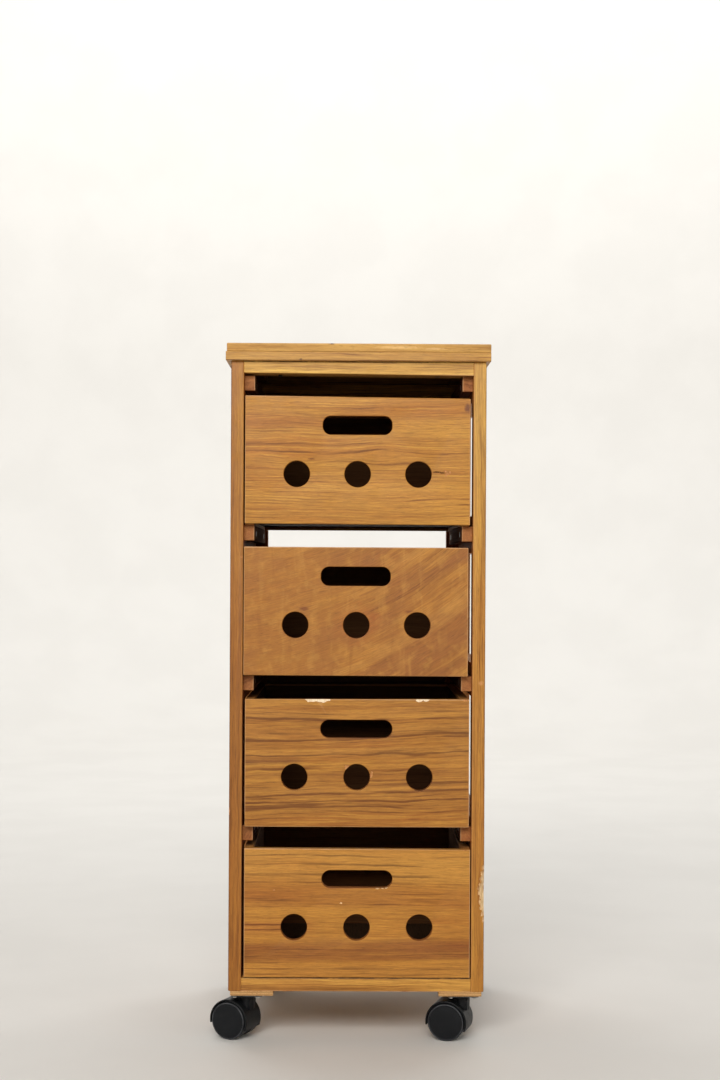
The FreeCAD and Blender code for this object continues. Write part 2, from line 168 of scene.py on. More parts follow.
def wood(name, grain="X", hue=(180, 124, 62), seed=0.0, centre=(0.0, -0.08), tilt=0.0,
         turn=0.0, bow=0.0, rings=150.0, wander=0.006, line=0.5, streak=0.8, fine=0.5, fibre=0.5,
         pores=0.5, blotch=0.35, zones=0.5, strokes=(), bands=(), spots=(), knots=(),
         figure=0.0, inside=(), deep=0.75, edges=(), fade=(), rough=0.46, coat=0.05, dirt=0.2,
         bump=0.35, gloss=0.30, face=-1.0, shade_tint=(1.0, 0.80, 0.72)):
    """Lacquered wood cut from a log: growth rings round a pith that lies at `centre`
    (across, deep), in metres from the origin, with streaks, fibres and pores along the
    grain. `strokes` are single dark growth lines, each with its height across the grain,
    strength, width below and above, ends along the grain, slope and waviness; `bands` are
    broad zones of other wood, and `edges` lines along the arrises of the face at y =
    `face`. `inside` lists boxes within which the wood is bare and darkened as painted shade."""
    t = Tree(name)
    light, mid, dark, ruddy = shades(hue)
    x, y, z = t.xyz(t.pos)
    u, v, w = {"X": (x, z, y), "Z": (z, x, y), "Y": (y, x, z)}[grain]
    if turn:
        c, s = math.cos(turn), math.sin(turn)
        u, v = t.sum(t.mul(u, c), t.mul(v, s)), t.sum(t.mul(v, c), t.mul(u, -s))
    if bow:
        v = t.sum(v, t.mul(t.mul(u, u), bow))
    # the grain steps aside round a knot at (along, across)
    for ku, kv, size, push, _ in knots:
        du, dv = t.mul(t.sub(u, ku), 0.5 / size), t.mul(t.sub(v, kv), 1.0 / size)
        g = t.math("EXPONENT", t.mul(t.sum(t.mul(du, du), t.mul(dv, dv)), -1.0))
        v = t.sub(v, t.mul(t.mul(dv, g), push * size))
    raw = t.vadd(t.vec(u, v, w), (seed * 0.731, seed * 0.377, seed * 0.193))
    slow = t.sub(t.noise(t.vmul(raw, (4.2, 11.0, 11.0)), 1.0, 1.0, 0.5), 0.5)
    fast = t.sub(t.noise(t.vmul(raw, (17.0, 46.0, 46.0)), 1.0, 2.0, 0.55), 0.5)
    v = t.sum(v, t.sum(t.mul(slow, wander * 3.0), t.mul(fast, wander * 0.9)))
    level = v
    if tilt:
        v = t.sub(v, t.mul(u, tilt))
    c = t.vadd(t.vec(u, v, w), (seed * 0.731, seed * 0.377, seed * 0.193))
    vv, ww = t.sub(v, centre[0]), t.sub(w, centre[1])
    d = t.math("SQRT", t.sum(t.mul(vv, vv), t.mul(ww, ww)))
    uneven = t.noise(t.mul(d, 38.0), 1.0, 1.0, 0.5, dims="1D")
    phase = t.sum(t.mul(d, rings), t.mul(uneven, 3.0))
    ring = t.math("FRACT", phase)
    who = t.add("ShaderNodeTexWhiteNoise", {"W": t.math("FLOOR", phase)},
                noise_dimensions="1D").outputs["Value"]
    late = t.mul(t.mul(t.ramp(ring, 0.15, 0.92), t.ramp(ring, 1.0, 0.94)), t.mad(who, 0.8, 0.2))
    streaks = t.sub(t.noise(t.vmul(c, (6.0, 120.0, 120.0)), 1.0, 3.0, 0.62), 0.5)
    long = t.sub(t.noise(t.vmul(c, (1.9, 26.0, 26.0)), 1.0, 2.0, 0.5), 0.5)
    thin = t.sub(t.noise(t.vmul(c, (10.0, 400.0, 400.0)), 1.0, 2.0, 0.6), 0.5)
    fib = t.noise(t.vmul(c, (60.0, 1000.0, 1000.0)), 1.0, 2.0, 0.6)
    dash = t.noise(t.vmul(c, (130.0, 1300.0, 1300.0)), 1.0, 1.0, 0.5)
    pore = t.mul(t.ramp(dash, 0.58, 0.70), t.mad(ring, -0.5, 1.0))
    hair = t.sub(t.noise(t.vmul(c, (26.0, 700.0, 700.0)), 1.0, 1.0, 0.5), 0.5)
    tone = t.sum(t.mul(streaks, streak), t.mul(long, streak * 1.3))
    tone = t.sum(tone, t.sum(t.mul(thin, fine), t.mad(late, line * 0.6, 0.40)))
    tone = t.sum(tone, t.mul(hair, fine * 0.7))
    side = t.ramp(x, -0.09, 0.07, 0.25, 1.0) if figure else None
    if figure:
        tone = t.mad(t.sub(tone, 0.40), side, 0.40)
    if strokes:
        broken = t.ramp(t.noise(t.vmul(raw, (15.0, 70.0, 70.0)), 1.0, 2.0, 0.5), 0.32, 0.60, 0.45, 1.15)
        total = None
        for i, (h, k, under, over, a, b, slope, wave) in enumerate(strokes):
            p = t.sub(t.mad(u, -slope, level), h)
            if wave:
                n = t.noise(t.mad(u, 16.0, seed + 5.3 * i), 1.0, 2.0, 0.5, dims="1D")
                p = t.mad(t.sub(n, 0.5), wave * 2.0, p)
            m = t.mul(t.ramp(p, -under, under * 0.15, 0.0, k), t.ramp(p, over, 0.0))
            if a > -0.149:
                m = t.mul(m, t.ramp(u, a - 0.016, a + 0.016))
            if abs(b - 0.15) > 0.001:
                m = t.mul(m, t.ramp(u, b + 0.016, b - 0.016))
            total = m if total is None else t.math("MAXIMUM", total, m)
        tone = t.sum(tone, t.mul(total, t.mul(broken, 0.75)))
    tone = t.math("ADD", tone, 0.0, clamp=True)
    zone = t.noise(t.vmul(c, (3.0, 34.0, 34.0)), 1.0, 2.0, 0.55)
    base = t.mix(t.mul(t.ramp(zone, 0.50, 0.68), zones), mid, t.mix(0.6, mid, ruddy))
    base = t.mix(t.mul(t.ramp(zone, 0.50, 0.32), zones * 0.8), base, t.mix(0.7, mid, light))
    col = t.mix(t.ramp(tone, 0.06, 0.50), light, base)
    col = t.mix(t.ramp(tone, 0.46, 1.02), col, dark)
    cloud = t.noise(t.vmul(c, (4.0, 15.0, 15.0)), 1.0, 3.0, 0.55)
    col = t.mix(t.mul(t.ramp(cloud, 0.40, 0.68), blotch), col, t.mix(0.5, ruddy, col))
    for b0, b1, soft, amount, shade, slope, a, b in bands:
        # a broad band of other wood along the grain, between two heights across it
        p = t.mad(u, -slope, level)
        m = t.mul(t.ramp(p, b0 - soft, b0 + soft), t.ramp(p, b1 + soft, b1 - soft))
        m = t.mul(m, t.mad(streaks, 1.6, 0.95))
        if a > -0.149:
            m = t.mul(m, t.ramp(u, a - 0.016, a + 0.016))
        if b < 0.149:
            m = t.mul(m, t.ramp(u, b + 0.016, b - 0.016))
        tint = t.mix(t.ramp(tone, 0.42, 0.9), rgb(*shade), tuple(k * 0.5 for k in rgb(*shade)))
        col = t.mix(t.math("MULTIPLY", m, amount, clamp=True), col, tint)
    if figure:
        # interlocked grain: soft slanting streaks, gold and rosy by turns, stronger to
        # the right, with a soft ripple across and clouds
        rosy, gold = rgb(146, 91, 40), rgb(182, 128, 57)
        fg = t.noise(t.vmul(raw, (4.5, 34.0, 34.0)), 1.0, 2.0, 0.5, 0.5)
        col = t.mix(t.mul(t.mul(t.ramp(fg, 0.50, 0.66), side), figure), col, rosy)
        col = t.mix(t.mul(t.mul(t.ramp(fg, 0.47, 0.32), side), figure * 0.8), col, gold)
        ripple = t.noise(t.vmul(t.pos, (75.0, 60.0, 15.0)), 1.0, 2.0, 0.5, 0.6)
        col = t.mix(t.mul(t.ramp(ripple, 0.54, 0.72), figure * 0.45), col, t.mix(0.5, mid, dark))
        col = t.mix(t.mul(t.ramp(ripple, 0.46, 0.30), figure * 0.45), col, gold)
        c1 = t.noise(t.vadd(t.pos, (seed, 0, 0)), 19.0, 2.0, 0.5)
        c2 = t.noise(t.vadd(t.pos, (0, 0, seed)), 60.0, 3.0, 0.6)
        col = t.mix(t.mul(t.ramp(c1, 0.50, 0.66), figure * 0.50), col, rosy)
        col = t.mix(t.mul(t.ramp(c2, 0.50, 0.32), figure * 0.40), col, gold)
        col = t.mix(t.mul(t.ramp(c2, 0.54, 0.72), figure * 0.28), col, rosy)
    for ku, kv, size, _, heart in knots:
        if heart:
            q = t.vec(t.mul(t.sub(u, ku), 0.45 / heart), t.mul(t.sub(v, kv), 1.0 / heart), 0.0)
            q = t.add("ShaderNodeVectorMath", {0: q}, operation="LENGTH").outputs["Value"]
            q = t.sum(q, t.mul(t.sub(t.noise(t.pos, 420.0, 3.0, 0.6), 0.5), 1.2))
            col = t.mix(t.mul(t.ramp(q, 1.25, 0.3), 0.8), col, tuple(k * 0.55 for k in dark))
    for sx, sy, sz, rx, ry, rz, amount, shade in spots:
        q = t.vmul(t.vadd(t.pos, (-sx, -sy, -sz)), (1 / rx, 1 / ry, 1 / rz))
        q = t.add("ShaderNodeVectorMath", {0: q}, operation="LENGTH").outputs["Value"]
        q = t.sum(q, t.mul(t.sub(t.noise(t.pos, 210.0, 3.0, 0.6), 0.5), 1.3))
        col = t.mix(t.mul(t.ramp(q, 1.3, 0.35), amount), col, rgb(*shade))
    for axis, a, b, k in fade:
        # the colour grows darker or paler along one axis, from one end to the other
        m = t.ramp({"X": x, "Y": y, "Z": z}[axis], a, b)
        col = t.mix(m, col, t.mix(1.0, col, k, "MULTIPLY"))
    shade = t.sum(t.mul(t.sub(fib, 0.5), fibre), 1.0)
    shade = t.mul(shade, t.sub(1.0, t.mul(pore, pores * 0.5)))
    col = t.mix(1.0, col, t.grey(shade), "MULTIPLY")
    grime = t.ramp(t.noise(t.pos, 24.0, 4.0, 0.65), 0.52, 0.80)
    col = t.mix(t.mul(grime, dirt), col, tuple(k * 0.6 for k in mid))
    for axis, at, width, amount, shade in edges:
        # along an edge the colour changes: paler where the lacquer is rubbed thin, with a painted highlight on the
        # arris, or darker as painted shade in a joint, or darker along an outer arris
        q = t.math("ABSOLUTE", t.sub({"X": x, "Y": y, "Z": z}[axis], at))
        if face > -1.0:
            q = t.math("MAXIMUM", q, t.sub(y, face + 0.0004))
        rub = t.noise(t.vadd(t.pos, (seed, 0.3, 0.0)), 46.0, 4.0, 0.65)
        m = t.mul(t.ramp(q, width, width * 0.35), t.ramp(rub, 0.28, 0.60, amount * 0.35, amount))
        col = t.mix(m, col, rgb(*shade))
    worn = 0.0
    # within the boxes listed in inside the colour is darkened and tinted as painted shade, for hollows and recesses
    # that lie in shadow, and the bare wood is left rougher
    if inside:
        m = 0.0
        for lo, hi in inside:
            half = [(b - a) / 2 for a, b in zip(lo, hi)]
            q = t.vadd(t.pos, tuple(-(a + b) / 2 for a, b in zip(lo, hi)))
            q = t.add("ShaderNodeVectorMath", {0: q}, operation="ABSOLUTE").outputs[0]
            qx, qy, qz = t.xyz(t.vadd(q, tuple(-h for h in half)))
            q = t.math("MAXIMUM", t.math("MAXIMUM", qx, qy), qz)
            q = t.ramp(q, 0.0002, -0.0002)
            m = q if isinstance(m, float) else t.math("MAXIMUM", m, q)
        col = t.mix(m, col, t.mix(1.0, col, tuple(deep * k for k in shade_tint), "MULTIPLY"))
        worn = m
    scuff = t.noise(t.pos, 30.0, 4.0, 0.7)
    r = t.sum(t.mad(fib, 0.12, rough - 0.06), t.mul(t.ramp(scuff, 0.45, 0.75), 0.14))
    if not isinstance(worn, float):
        r = t.math("ADD", r, t.mul(worn, 0.45), clamp=True)
    t.bump(t.sum(t.mul(fib, 0.5), t.sum(t.mul(pore, -0.9), t.mul(late, 0.35))), bump, 0.00016)
    return t.set(Base_Color=col, Roughness=r, Coat_Weight=coat, Coat_Roughness=0.28,
                 Specular_IOR_Level=gloss)


# ------------------------------------------------------------------ others
def plywood(name, light, dark, z0, ply, seed=0.0, rough=0.7):
    """Bare plywood lying flat: plies in turn along and across."""
    t = Tree(name)
    x, y, z = t.xyz(t.pos)
    wob = t.mul(t.sub(t.noise(t.vadd(t.pos, (seed, 0, 0)), 60.0, 2.0, 0.5), 0.5), ply * 0.5)
    k = t.mul(t.sub(t.sum(z, wob), z0), 1.0 / ply)
    odd = t.ramp(t.math("PINGPONG", k, 1.0), 0.35, 0.65)
    n1 = t.noise(t.vmul(t.pos, (40.0, 900.0, 900.0)), 1.0, 3.0, 0.6)
    n2 = t.noise(t.vmul(t.pos, (900.0, 40.0, 900.0)), 1.0, 3.0, 0.6)
    fib = t.sum(t.mul(n1, odd), t.mul(n2, t.sub(1.0, odd)))
    col = t.mix(odd, light, tuple(c * 0.72 for c in light))
    col = t.mix(t.ramp(fib, 0.42, 0.75), col, dark)
    col = t.mix(t.mul(t.ramp(t.noise(t.pos, 35.0, 3.0, 0.6), 0.5, 0.8), 0.4), col, dark)
    t.bump(t.sum(fib, odd), 0.6, 0.0003)
    return t.set(Base_Color=col, Roughness=rough, Specular_IOR_Level=0.25)


def torn(name, light, dark):
    """Fresh splintered wood where a flake has broken away, its fibres along Z or X."""
    t = Tree(name)
    a = t.noise(t.vmul(t.pos, (500.0, 500.0, 60.0)), 1.0, 4.0, 0.65)
    b = t.noise(t.pos, 180.0, 3.0, 0.6)
    col = t.mix(t.ramp(a, 0.35, 0.72), light, dark)
    col = t.mix(t.mul(t.ramp(b, 0.55, 0.8), 0.5), col, tuple(c * 0.6 for c in dark))
    t.bump(a, 0.8, 0.0006)
    return t.set(Base_Color=col, Roughness=0.85, Specular_IOR_Level=0.15)


def steel(name, seed=0.0, bright=(0.66, 0.66, 0.63), dull=(0.38, 0.36, 0.33)):
    t = Tree(name)
    n = t.noise(t.vadd(t.pos, (seed, 0, 0)), 90.0, 4.0, 0.6)
    s = t.noise(t.vmul(t.pos, (2500.0, 300.0, 2500.0)), 1.0, 2.0, 0.5)
    col = t.mix(t.ramp(n, 0.4, 0.7), bright, dull)
    r = t.sum(t.mul(n, 0.25), t.mad(s, 0.15, 0.16))
    t.bump(s, 0.2, 0.00005)
    return t.set(Base_Color=col, Roughness=r, Metallic=1.0)


def plastic(name, base, rough, seed=0.0, dust=0.12):
    """Moulded black plastic with a fine satin grain, dusty where it is scuffed."""
    t = Tree(name)
    p = t.vadd(t.pos, (seed, seed * 0.3, 0))
    g = t.noise(p, 2600.0, 2.0, 0.6)
    s = t.noise(p, 75.0, 5.0, 0.7)
    fine = t.noise(t.vmul(p, (420.0, 420.0, 90.0)), 1.0, 3.0, 0.7)
    col = t.mix(t.mul(t.ramp(s, 0.50, 0.78), dust), base, (0.050, 0.046, 0.042))
    col = t.mix(t.mul(t.ramp(fine, 0.62, 0.72), dust * 0.8), col, (0.10, 0.095, 0.09))
    r = t.sum(t.mad(g, 0.12, rough - 0.06), t.mul(t.ramp(s, 0.4, 0.75), 0.16))
    t.bump(t.sum(g, t.mul(fine, 0.6)), 0.25, 0.00008)
    return t.set(Base_Color=col, Roughness=r, Specular_IOR_Level=0.20)


# --------------------------------------------------------- making the pieces
def paint(name, mat):
    """A CAD node keeps its shape and gets this material."""
    mesh = NODES[name].data
    mesh.materials.clear()
    mesh.materials.append(mat)


def smooth_by_angle(me, angle=35.0):
    """Smooth shading on rounded arrises, crisp between flat faces."""
    bm = bmesh.new()
    bm.from_mesh(me)
    bmesh.ops.remove_doubles(bm, verts=bm.verts, dist=1e-7)
    for f in bm.faces:
        f.smooth = True
    for e in bm.edges:
        e.smooth = len(e.link_faces) == 2 and e.calc_face_angle(0.0) < math.radians(angle)
    bm.to_mesh(me)
    bm.free()


def from_node(name, new):
    """A new piece with the CAD node's shape, to be worked on further."""
    me = NODES[name].data.copy()
    me.name = new
    me.materials.clear()
    ob = bpy.data.objects.new(new, me)
    bpy.context.scene.collection.objects.link(ob)
    for a in list(me.attributes):
        if a.name.startswith("custom_normal"):
            me.attributes.remove(a)
    bm = bmesh.new()
    bm.from_mesh(me)
    bmesh.ops.remove_doubles(bm, verts=bm.verts, dist=2e-6)
    bm.to_mesh(me)
    bm.free()
    return ob


def blob(at, size, seed, rough=0.35, cells=3.0, sub=4, spin=(0, 0, 0)):
    """A lumpy closed shape for breaking a chip out of an edge."""
    bm = bmesh.new()
    bmesh.ops.create_icosphere(bm, subdivisions=sub, radius=1.0)
    off = Vector((seed * 3.17, seed * 1.71, seed * 0.93))
    for v in bm.verts:
        n = noise.fractal(v.co * cells + off, 0.9, 2.1, 4)
        v.co *= 1.0 + rough * n
    m = Matrix.Translation(at) @ Matrix.Rotation(spin[2], 4, "Z") \
        @ Matrix.Rotation(spin[1], 4, "Y") @ Matrix.Rotation(spin[0], 4, "X") \
        @ Matrix.Diagonal((*size, 1.0))
    bmesh.ops.transform(bm, matrix=m, verts=bm.verts)
    me = bpy.data.meshes.new("chip")
    bm.to_mesh(me)
    bm.free()
    return me


def break_out(ob, wood_mat, chips):
    """Cuts the chips out of ob, one after the other: each is a closed mesh and the
    material of the faces it leaves."""
    if not ob.data.materials:
        ob.data.materials.append(wood_mat)
    for tool, mat in chips:
        cutter = bpy.data.objects.new("cutter", tool)
        tool.materials.append(mat)
        bpy.context.scene.collection.objects.link(cutter)
        mod = ob.modifiers.new("break", "BOOLEAN")
        mod.operation, mod.object, mod.solver = "DIFFERENCE", cutter, "EXACT"
        mod.material_mode = "TRANSFER"
        dg = bpy.context.evaluated_depsgraph_get()
        me = bpy.data.meshes.new_from_object(ob.evaluated_get(dg))
        ob.modifiers.clear()
        old = ob.data
        if len(me.polygons) > 50:
            ob.data = me
            bpy.data.meshes.remove(old)
        else:
            print("chip left out at", ob.name)
        bpy.data.objects.remove(cutter)
        bpy.data.meshes.remove(tool)
    smooth_by_angle(ob.data, 30.0)


def stands_for(ob, node, body=None):
    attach(ob, body or BODY_OF[node])
    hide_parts(node)


for n in NODES.values():
    n.data.materials.clear()

# ------------------------------------------------------------------ the wood
# sizes of the frame, read off the nodes, in metres
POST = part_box("post_front_left")
XI, XO, YO = -POST[1][0], -POST[0][0], -POST[0][1]
DRAWER = {i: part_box("drawer_%d_front" % i) for i in range(1, 5)}


def hollow(i):
    """The space inside drawer i, and through its front."""
    lo, hi = DRAWER[i]
    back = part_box("drawer_%d_back" % i)
    return ((lo[0] + 0.0110, lo[1] + 0.0003, lo[2] + 0.003),
            (hi[0] - 0.0110, back[0][1] + 0.0006, hi[2] - 0.0035))


# boxes of painted shade: the bay between the front posts, and the underside of the top over the carcass
BAY = ((-XI - 0.0006, -YO + 0.0016, 0.0), (XI + 0.0006, YO + 0.01, 0.9165))
UNDER = ((-XO, -YO + 0.0005, 0.9), (XO, YO, 0.9165))
# the pale line along the upper front arris is worn lacquer with a painted highlight; the underside over the carcass
# is darkened as painted shade
TOP_UP = wood("top_panel_wood", "X", (188, 143, 78), seed=3.1, centre=(0.95, -0.35), rings=120,
              wander=0.005, line=0.45, streak=0.8, fine=0.9, dirt=0.2, inside=[UNDER],
              coat=0.0, rough=0.62, gloss=0.2,
              face=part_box("top_panel")[0][1], edges=[("Z", 0.927, 0.0022, 0.5, (222, 180, 124))],
              spots=[(0.052, -0.176, 0.9222, 0.030, 0.02, 0.0022, 0.45, (232, 192, 134)),
                     (0.100, -0.176, 0.9205, 0.014, 0.02, 0.0016, 0.45, (232, 192, 134)),
                     (-0.036, -0.176, 0.9262, 0.005, 0.01, 0.0012, 0.7, (110, 62, 30))])
# the dark line along the edging's lower arris is painted shade at its joint with the rail; the underside over the
# carcass is darkened as painted shade
TOP_LOW = wood("top_edging_wood", "X", (172, 124, 57), seed=5.7, centre=(0.86, -0.30), rings=160,
               wander=0.004, line=0.6, streak=0.9, fine=1.1, inside=[UNDER],
               face=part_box("top_edging")[0][1], edges=[("Z", 0.9045, 0.0014, 0.7, (96, 54, 24))],
               spots=[(-0.077, -0.1755, 0.9055, 0.0022, 0.004, 0.0014, 0.8, (70, 34, 16))])
# a dark line of painted shadow along the top under the edging, a pale line of worn lacquer and painted highlight
# along the lower arris, and painted shade on the inner faces in the bay
RAIL = wood("top_rail_wood", "X", (194, 148, 70), seed=9.9, centre=(0.80, -0.25), rings=110,
            wander=0.005, line=0.5, streak=1.0, fine=1.1, inside=[BAY], blotch=0.2, face=-YO,
            edges=[("Z", 0.9045, 0.0030, 0.95, PAINTED_JOINT_SHADE), ("Z", 0.886, 0.0016, 0.6, PALE_WEAR_AND_HIGHLIGHT)])
# a pale line of worn lacquer and painted highlight along the lower arris, a dark line of painted shade along the
# top under drawer 4, and painted shade over the top face behind the front
BASE = wood("bottom_panel_wood", "X", (184, 130, 56), seed=12.5, centre=(0.02, -0.24), rings=110,
            wander=0.006, line=0.6, streak=1.1, fine=1.1, face=-YO,
            inside=[((-1, -YO + 0.003, 0.0845), (1, 1, 0.1))],
            edges=[("Z", 0.068, 0.0018, 0.7, PALE_WEAR_AND_HIGHLIGHT), ("Z", 0.086, 0.0016, 0.9, PAINTED_JOINT_SHADE)])
# the inner faces in the bay are darkened and reddened as painted shade; a darker line runs along the outer arris
# and a paler one along the inner, and the colour drifts along the height
POST_L = wood("post_left_wood", "Z", (158, 105, 37), seed=16.4, centre=(-0.25, -0.30), rings=170,
              wander=0.004, line=0.4, streak=0.7, fine=1.0, fibre=0.6, tilt=0.004, inside=[BAY],
              blotch=0.3, face=-YO, fade=[("Z", 0.84, 0.58, (0.88, 0.79, 0.88)), ("Z", 0.44, 0.16, (1.16, 1.20, 1.15))], deep=1.1,
              shade_tint=(1.0, 0.66, 0.50),
              edges=[("X", -XO, 0.0016, 0.55, (98, 60, 28)), ("X", -XI, 0.0015, 0.5, (186, 130, 72))])
POST_R = wood("post_right_wood", "Z", (180, 133, 60), seed=18.8, centre=(0.26, -0.30), rings=150,
              wander=0.004, line=0.4, streak=0.7, fine=1.0, fibre=0.6, tilt=-0.003, inside=[BAY],
              blotch=0.5, face=-YO, fade=[("Z", 0.84, 0.50, (0.93, 0.77, 0.58))], deep=1.1,
              shade_tint=(1.0, 0.70, 0.55), spots=[(0.164, -0.168, 0.478, 0.004, 0.01, 0.003, 0.5, (214, 170, 118))],
              edges=[("X", XO, 0.0016, 0.55, (106, 68, 32)), ("X", XI, 0.0015, 0.6, (196, 140, 88))])
# the faces within the bay are darkened as painted shade
POST_BACK = wood("post_rear_wood", "Z", (166, 112, 56), seed=21.4, centre=(0.0, 0.30), rings=150,
                 inside=[BAY])
SIDE_L = wood("rung_left_wood", "Y", (168, 112, 54), seed=25.0, centre=(-0.26, 0.4), rings=150,
              inside=[BAY])
SIDE_R = wood("rung_right_wood", "Y", (172, 116, 56), seed=28.7, centre=(0.26, 0.4), rings=150,
              inside=[BAY])
# behind its front end the runner is darkened as painted shade; paler lines of worn lacquer and painted highlight
# run along the arrises of the end
RUNNER = wood("runner_wood", "Y", (155, 98, 50), seed=31.3, centre=(0.0, 0.2), rings=220, coat=0.0,
              rough=0.6, inside=[((-1, -YO + 0.0155, 0), (1, 1, 1))], deep=0.45, face=-YO + 0.014,
              edges=[("X", -XI + 0.014, 0.0016, 0.5, PALE_WEAR_AND_HIGHLIGHT), ("X", XI - 0.014, 0.0016, 0.5, PALE_WEAR_AND_HIGHLIGHT)])
# all but the rearmost part of the stops and rear rails is darkened as painted shade
STOP = wood("rear_stop_wood", "Z", (150, 96, 50), seed=34.9, centre=(0.2, 0.2), rings=200,
            coat=0.0, rough=0.6, inside=[((-1, -1, 0), (1, YO - 0.0140, 1))])
CROSS = wood("rear_rail_wood", "X", (160, 106, 52), seed=36.1, centre=(0.2, 0.5), rings=150,
             rough=0.55, inside=[((-1, -1, 0), (1, YO - 0.0140, 1))], deep=0.3, shade_tint=(1.0, 0.96, 1.3))


def at(i, *rows):
    """Growth lines of front i: millimetres above the drawer's underside, strength, widths
    below and above, ends, slope and waviness."""
    z0 = 0.0862 + 0.2 * (4 - i)
    out = []
    for row in rows:
        h, k, under, over, a, b, slope, wave = row + (-0.15, 0.15, 0.0, 1.0)[len(row) - 4:]
        out.append((z0 + h / 1000, k, under / 1000, over / 1000, a, b, slope, wave / 1000))
    return out


def front(i, **kw):
    z0 = 0.0862 + 0.2 * (4 - i)
    lo, hi = DRAWER[i]
    # drawers 1 to 3 get a pale line of worn lacquer and painted highlight along the underside arris, drawer 4 a
    # dark line of painted shade where it meets the bottom panel; the other arrises get the pale line too, and the
    # inside of each drawer and its holes get painted shade
    low = ("Z", z0, 0.0014, 0.55, PALE_WEAR_AND_HIGHLIGHT) if i < 4 else ("Z", z0, 0.0015, 0.8, PAINTED_JOINT_SHADE)
    return wood("drawer_%d_front_wood" % i, "X", inside=[hollow(i)], face=lo[1],
                edges=[("Z", hi[2], 0.0018, 0.85, PALE_WEAR_AND_HIGHLIGHT), low, ("X", lo[0], 0.0013, 0.6, PALE_WEAR_AND_HIGHLIGHT),
                       ("X", hi[0], 0.0015, 0.7, PALE_WEAR_AND_HIGHLIGHT)], **kw)


